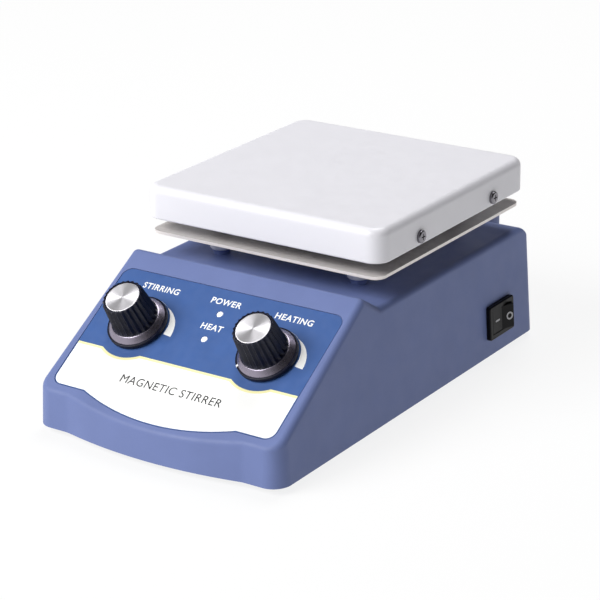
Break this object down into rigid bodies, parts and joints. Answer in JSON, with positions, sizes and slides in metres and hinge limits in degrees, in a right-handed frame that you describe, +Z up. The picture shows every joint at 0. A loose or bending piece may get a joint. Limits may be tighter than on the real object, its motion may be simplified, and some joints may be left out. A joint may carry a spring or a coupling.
{
  "type": "magnetic stirrer",
  "caption": "Hotplate magnetic stirrer: square white heated plate on ceramic standoffs above a sloped-panel housing with stirring and heating knobs.",
  "frame": {"origin": "middle of the overall box, on the surface that the feet stand on; the raised side of the power rocker puts it 2.2 mm right of the housing's middle plane", "axes": "+X to the user's right, +Y to the rear, +Z up"},
  "size_m": [0.1268, 0.2162, 0.086],
  "materials": {
    "blue_housing": "fine moulded texture, satin",
    "black_plastic": "matt",
    "rubber": "matt",
    "screw_steel": "bright zinc",
    "overlay_print": "printed polyester sheet, blue above, white below",
    "knob_black": "semi-gloss",
    "turned_aluminium": "turned, fine rings",
    "white_mark": "painted line",
    "brass": "turned",
    "shaft_steel": "ground",
    "zinc_plate": "zinc-plated sheet",
    "lamp_lens": "diffused lens",
    "switch_black": "moulded, satin",
    "white_enamel": "white ceramic coating on cast aluminium",
    "mica": "mica sheet",
    "ceramic_fibre": "felted ceramic fibre",
    "stainless": "bright stainless sheet",
    "ceramic_white": "unglazed white ceramic",
    "lead_sleeve": "woven glass sleeve",
    "core_iron": "laminated steel",
    "magnet_grey": "sintered ferrite",
    "carrier_aluminium": "milled",
    "magnet_nickel": "nickel-plated",
    "board_green": "solder mask",
    "sink_aluminium": "anodised",
    "part_black": "epoxy",
    "relay_blue": "moulded",
    "capacitor_sleeve": "shrink sleeve",
    "terminal_green": "moulded",
    "fuse_glass": "clear"
  },
  "bodies": {
    "casing": {"upper_housing": "blue_housing", "base_plate": "black_plastic", "feet": "rubber", "foot_screws": "screw_steel", "control_overlay": "overlay_print", "pot_bodies": "zinc_plate", "pot_nuts": "zinc_plate", "pot_washers": "zinc_plate", "power_led": "lamp_lens", "heat_led": "lamp_lens", "switch_body": "switch_black", "switch_terminals": "brass", "top_plate": "white_enamel", "plate_side_screws": "screw_steel", "heater_element": "mica", "insulation_pad": "ceramic_fibre", "clamp_plate": "zinc_plate", "heat_shield": "stainless", "ceramic_standoffs": "ceramic_white", "stud_spacers": "screw_steel", "plate_studs": "screw_steel", "stud_nuts": "screw_steel", "thermostat": "zinc_plate", "heater_leads": "lead_sleeve", "lead_grommet": "rubber", "motor_can": "zinc_plate", "motor_end_cap": "black_plastic", "motor_bushes": "brass", "field_magnets": "magnet_grey", "motor_bracket": "zinc_plate", "motor_screws": "screw_steel", "bracket_screws": "screw_steel", "control_board": "board_green", "board_screws": "screw_steel", "heat_sink": "sink_aluminium", "triac": "part_black", "relay": "relay_blue", "capacitors": "capacitor_sleeve", "terminal_block": "terminal_green", "inlet_socket": "switch_black", "inlet_pins": "brass", "inlet_screws": "screw_steel", "fuse_holder": "switch_black"},
    "stir_control": {"stir_knob": "knob_black", "stir_knob_cap": "turned_aluminium", "stir_knob_pointer": "white_mark", "stir_knob_bush": "brass", "stir_pot_shaft": "shaft_steel"},
    "heat_control": {"heat_knob": "knob_black", "heat_knob_cap": "turned_aluminium", "heat_knob_pointer": "white_mark", "heat_knob_bush": "brass", "heat_pot_shaft": "shaft_steel"},
    "rocker": {"switch_rocker": "switch_black"},
    "rotor": {"motor_shaft": "shaft_steel", "rotor_core": "core_iron", "magnet_carrier": "carrier_aluminium", "drive_magnets": "magnet_nickel"},
    "fuse_carrier": {"fuse_cap": "switch_black", "fuse": "fuse_glass"}
  },
  "joints": [
    {"name": "stir_knob_turn", "type": "hinge", "parent": "casing", "child": "stir_control", "pos_m": [-0.0348, -0.06809, 0.04122], "axis": [0, 0.5407, -0.8412], "range_deg": [-95, 175]},
    {"name": "heat_knob_turn", "type": "hinge", "parent": "casing", "child": "heat_control", "pos_m": [0.0304, -0.06809, 0.04122], "axis": [0, 0.5407, -0.8412], "range_deg": [0, 270]},
    {"name": "switch_rock", "type": "hinge", "parent": "casing", "child": "rocker", "pos_m": [0.05751, 0.0679, 0.01825], "axis": [-0.0546, 0, 0.9985], "range_deg": [0, 22]},
    {"name": "stirrer_spin", "type": "hinge", "parent": "casing", "child": "rotor", "pos_m": [-0.0022, 0.0325, 0.035], "axis": [0, 0, 1], "continuous": true},
    {"name": "fuse_cap_turn", "type": "hinge", "parent": "casing", "child": "fuse_carrier", "pos_m": [-0.0382, 0.09996, 0.023], "axis": [0, 0.9985, 0.0546], "range_deg": [0, 45]}
  ]
}
